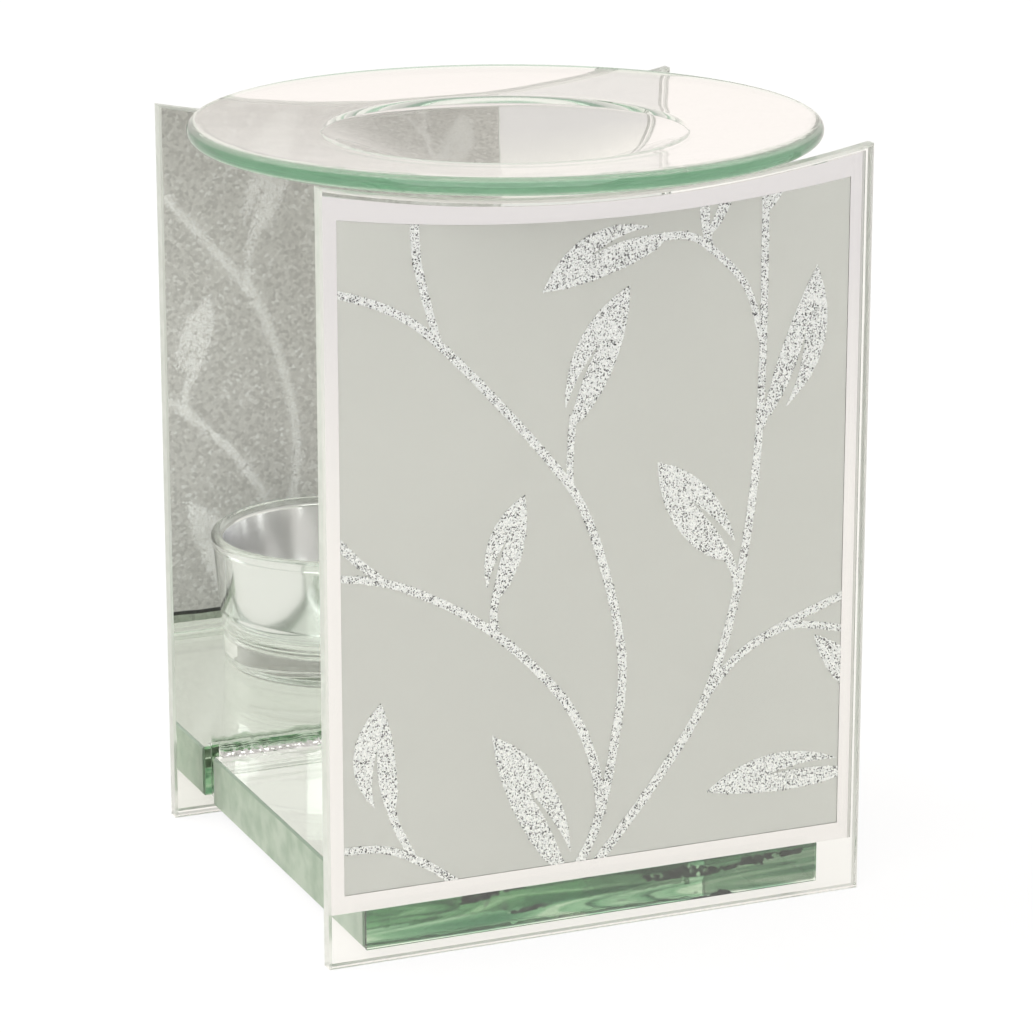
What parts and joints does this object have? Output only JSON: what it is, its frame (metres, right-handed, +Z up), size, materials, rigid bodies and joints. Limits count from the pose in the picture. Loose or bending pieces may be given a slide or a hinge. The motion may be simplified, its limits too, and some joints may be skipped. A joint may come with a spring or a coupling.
{
  "type": "essential oil burner",
  "caption": "Tabletop oil burner: upright glass panels with scooped tops hold a round glass dish over a tealight cup on a thick glass base, with a glitter leaf vine on the satin front.",
  "frame": {"origin": "on the table, under the centre of the dish", "axes": "+Z up, the decorated front panel faces -Y, +X to the right seen from the front"},
  "size_m": [0.107, 0.107, 0.131],
  "materials": {
    "clear_glass": "polished float glass, faint green at the edges",
    "silvering": "mirror silver seen through glass",
    "satin_ink": "satin grey-green printed ink",
    "grey_glitter": "fine grey glitter in lacquer",
    "silver_glitter": "coarse silver glitter in lacquer",
    "back_paint": "matt grey mirror backing paint",
    "green_glass": "thick polished float glass with a green body tint",
    "clear_adhesive": "clear cured glass adhesive",
    "pressed_glass": "fire-polished pressed glass",
    "slumped_glass": "slumped float glass with a rounded polished rim"
  },
  "bodies": {
    "stand": {"front_glass": "clear_glass", "front_silver_border": "silvering", "front_satin_field": "satin_ink", "front_glitter_backing": "grey_glitter", "glitter_vine_left": "silver_glitter", "glitter_vine_right": "silver_glitter", "glitter_spray_left": "silver_glitter", "glitter_leaf_centre": "silver_glitter", "glitter_leaf_right": "silver_glitter", "glitter_leaf_edge": "silver_glitter", "back_glass": "clear_glass", "back_silvering": "silvering", "back_paint": "back_paint", "base_plate": "green_glass", "front_glue_film": "clear_adhesive", "back_glue_bead": "clear_adhesive"},
    "cup": {"tealight_cup": "pressed_glass", "cup_silvering": "silvering"},
    "dish": {"oil_dish": "slumped_glass"}
  },
  "joints": [
    {"name": "dish_lift", "type": "slide", "parent": "stand", "child": "dish", "axis": [0, 0, 1], "range_m": [0, 0.06]},
    {"name": "cup_slide", "type": "slide", "parent": "stand", "child": "cup", "axis": [-1, 0, 0], "range_m": [0, 0.075]}
  ]
}
